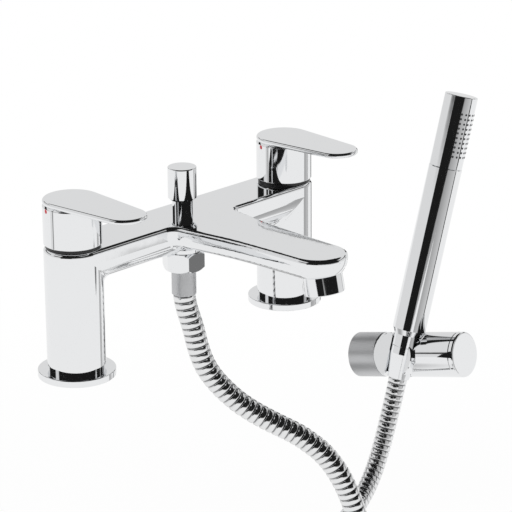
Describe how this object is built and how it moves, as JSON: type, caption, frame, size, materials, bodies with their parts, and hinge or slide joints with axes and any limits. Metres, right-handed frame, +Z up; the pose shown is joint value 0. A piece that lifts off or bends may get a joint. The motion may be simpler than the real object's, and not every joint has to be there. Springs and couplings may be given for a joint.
{
  "type": "bath shower mixer",
  "caption": "Deck-mounted bath shower mixer: bridge body with spout, quarter-turn levers, lift-up diverter, hose, stick handset and wall holder.",
  "frame": {"origin": "on the bath deck, halfway between the two inlets", "axes": "+Z up from the deck; the spout points to -Y; X runs along the bridge from inlet to inlet"},
  "size_m": [0.4959, 0.2792, 0.3797],
  "materials": {
    "chrome": "polished chrome plate",
    "satin_chrome": "satin chrome plate",
    "hose_chrome": "polished ribbed metal hose",
    "brass": "machined brass, inside",
    "steel": "stainless steel",
    "rubber": "black rubber seal",
    "ceramic": "white ceramic disc",
    "black_plastic": "black moulded plastic",
    "white_plastic": "white moulded plastic",
    "silicone": "grey silicone nozzles",
    "red": "red index dot"
  },
  "bodies": {
    "mixer": {"mixer_body": "chrome", "base_flange_near": "chrome", "base_flange_far": "chrome", "base_gasket_near": "rubber", "base_gasket_far": "rubber", "seat_seal_near": "rubber", "seat_seal_far": "rubber", "fixed_disc_near": "ceramic", "fixed_disc_far": "ceramic", "cartridge_near": "brass", "cartridge_far": "brass", "glide_ring_near": "black_plastic", "glide_ring_far": "black_plastic", "diverter_bonnet": "chrome", "diverter_spring": "steel", "outlet_nipple": "chrome", "outlet_nut": "chrome", "hose_washer": "rubber", "hose_tail": "brass", "hose_ferrule": "satin_chrome", "aerator_housing": "chrome", "aerator_seal": "rubber", "aerator_insert": "white_plastic", "hose_outlet_ribbed": "hose_chrome", "hose_lower": "hose_chrome", "hose_coil": "hose_chrome", "hose_rise": "hose_chrome", "hose_handset_ribbed": "hose_chrome", "wall_plate": "steel", "wall_base": "satin_chrome", "sleeve_screw": "steel", "glide_washer": "black_plastic", "clamp_washer": "steel"},
    "lever_near": {"lever_near": "chrome", "grub_screw_near": "steel", "index_dot_near": "red", "spindle_near": "brass", "turning_disc_near": "ceramic"},
    "lever_far": {"lever_far": "chrome", "grub_screw_far": "steel", "index_dot_far": "red", "spindle_far": "brass", "turning_disc_far": "ceramic"},
    "diverter": {"diverter_knob": "chrome", "diverter_stem": "brass", "diverter_washer": "rubber"},
    "holder": {"holder": "chrome", "end_cap": "chrome", "axle_screw": "steel"},
    "handset": {"handset_barrel": "chrome", "handset_inlet": "chrome", "handset_head": "chrome", "nozzle_strip": "silicone", "head_seal": "rubber", "handset_cap": "chrome", "cone_nut": "chrome", "cone_washer": "rubber"}
  },
  "joints": [
    {"name": "near_lever_turn", "type": "hinge", "parent": "mixer", "child": "lever_near", "pos_m": [-0.09, 0, 0.1], "axis": [0, 0, 1], "range_deg": [-90, 0]},
    {"name": "far_lever_turn", "type": "hinge", "parent": "mixer", "child": "lever_far", "pos_m": [0.09, 0, 0.1], "axis": [0, 0, 1], "range_deg": [0, 90]},
    {"name": "diverter_lift", "type": "slide", "parent": "mixer", "child": "diverter", "axis": [0, 0, 1], "range_m": [0, 0.007], "stiffness_N_per_m": 300, "springref_m": -0.008, "deforming": ["diverter_spring"]},
    {"name": "holder_swivel", "type": "hinge", "parent": "mixer", "child": "holder", "pos_m": [0.3268, 0.1444, -0.1436], "axis": [-0.1291, 0.9677, -0.2164], "range_deg": [0, 30]},
    {"name": "handset_lift", "type": "slide", "parent": "holder", "child": "handset", "axis": [0.2486, -0.0526, 0.9672], "range_m": [0, 0.045]}
  ]
}
